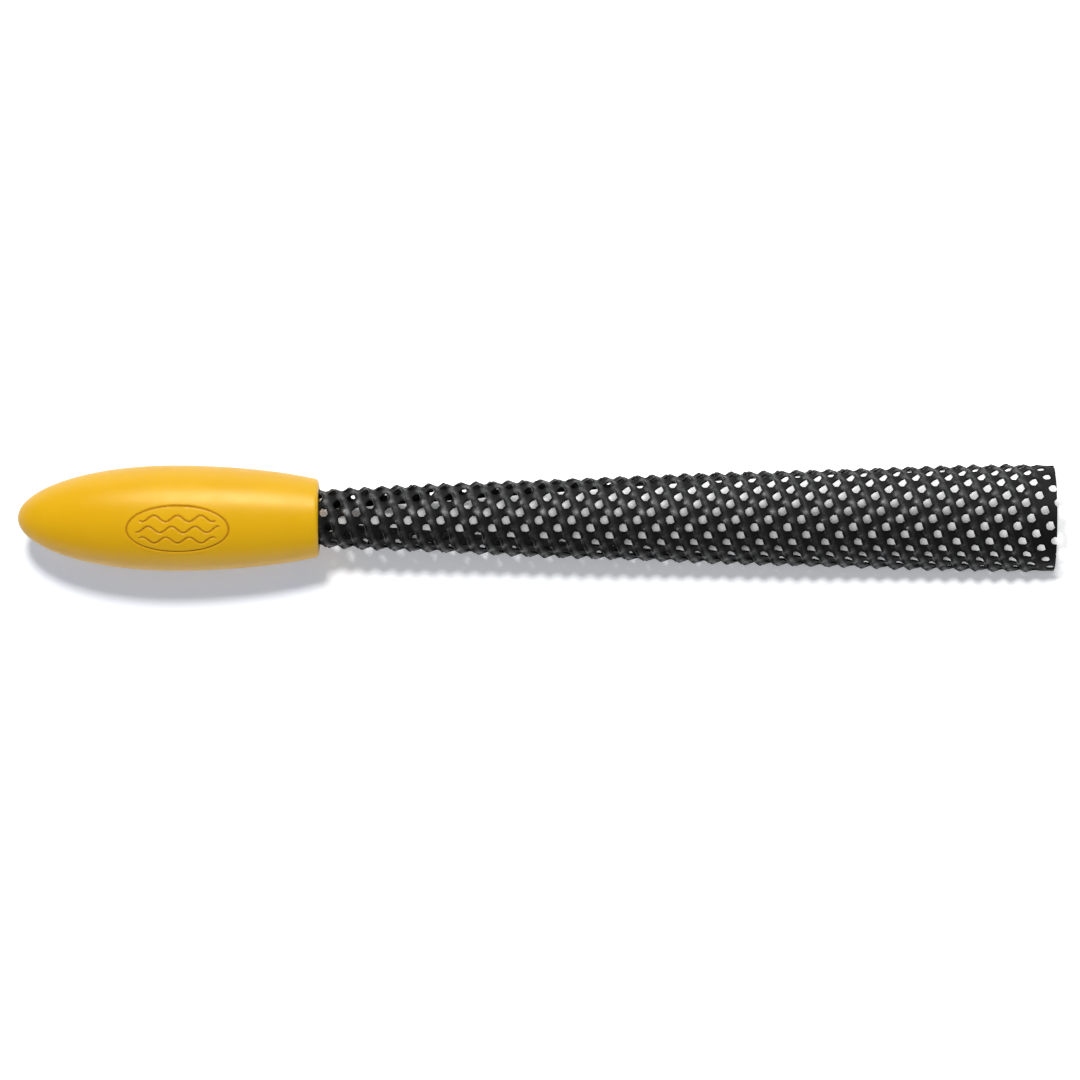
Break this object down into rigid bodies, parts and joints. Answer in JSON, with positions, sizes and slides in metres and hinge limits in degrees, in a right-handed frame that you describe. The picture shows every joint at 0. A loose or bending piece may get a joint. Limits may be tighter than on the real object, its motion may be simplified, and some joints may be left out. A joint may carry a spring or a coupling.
{
  "type": "clay shredding rasp",
  "caption": "Hand rasp for shredding clay: a moulded ellipsoidal grip holding a perforated, toothed steel strip rolled into a tapered open trough.",
  "frame": {"origin": "on the tool's axis, at the grip's thickest ring", "axes": "+X along the tool's axis to the blade's free end, +Z out of the crest of the trough, +Y across the tool"},
  "size_m": [0.2489, 0.0261, 0.0256],
  "materials": {
    "yellow_polymer": "moulded, soft sheen",
    "black_coated_steel": "thin black coating, satin",
    "core_polymer": "plain moulded",
    "cured_resin": "cured adhesive"
  },
  "bodies": {
    "root": {"grip": "yellow_polymer", "blade": "black_coated_steel", "core_plug": "core_polymer", "bond_resin": "cured_resin"}
  },
  "joints": []
}
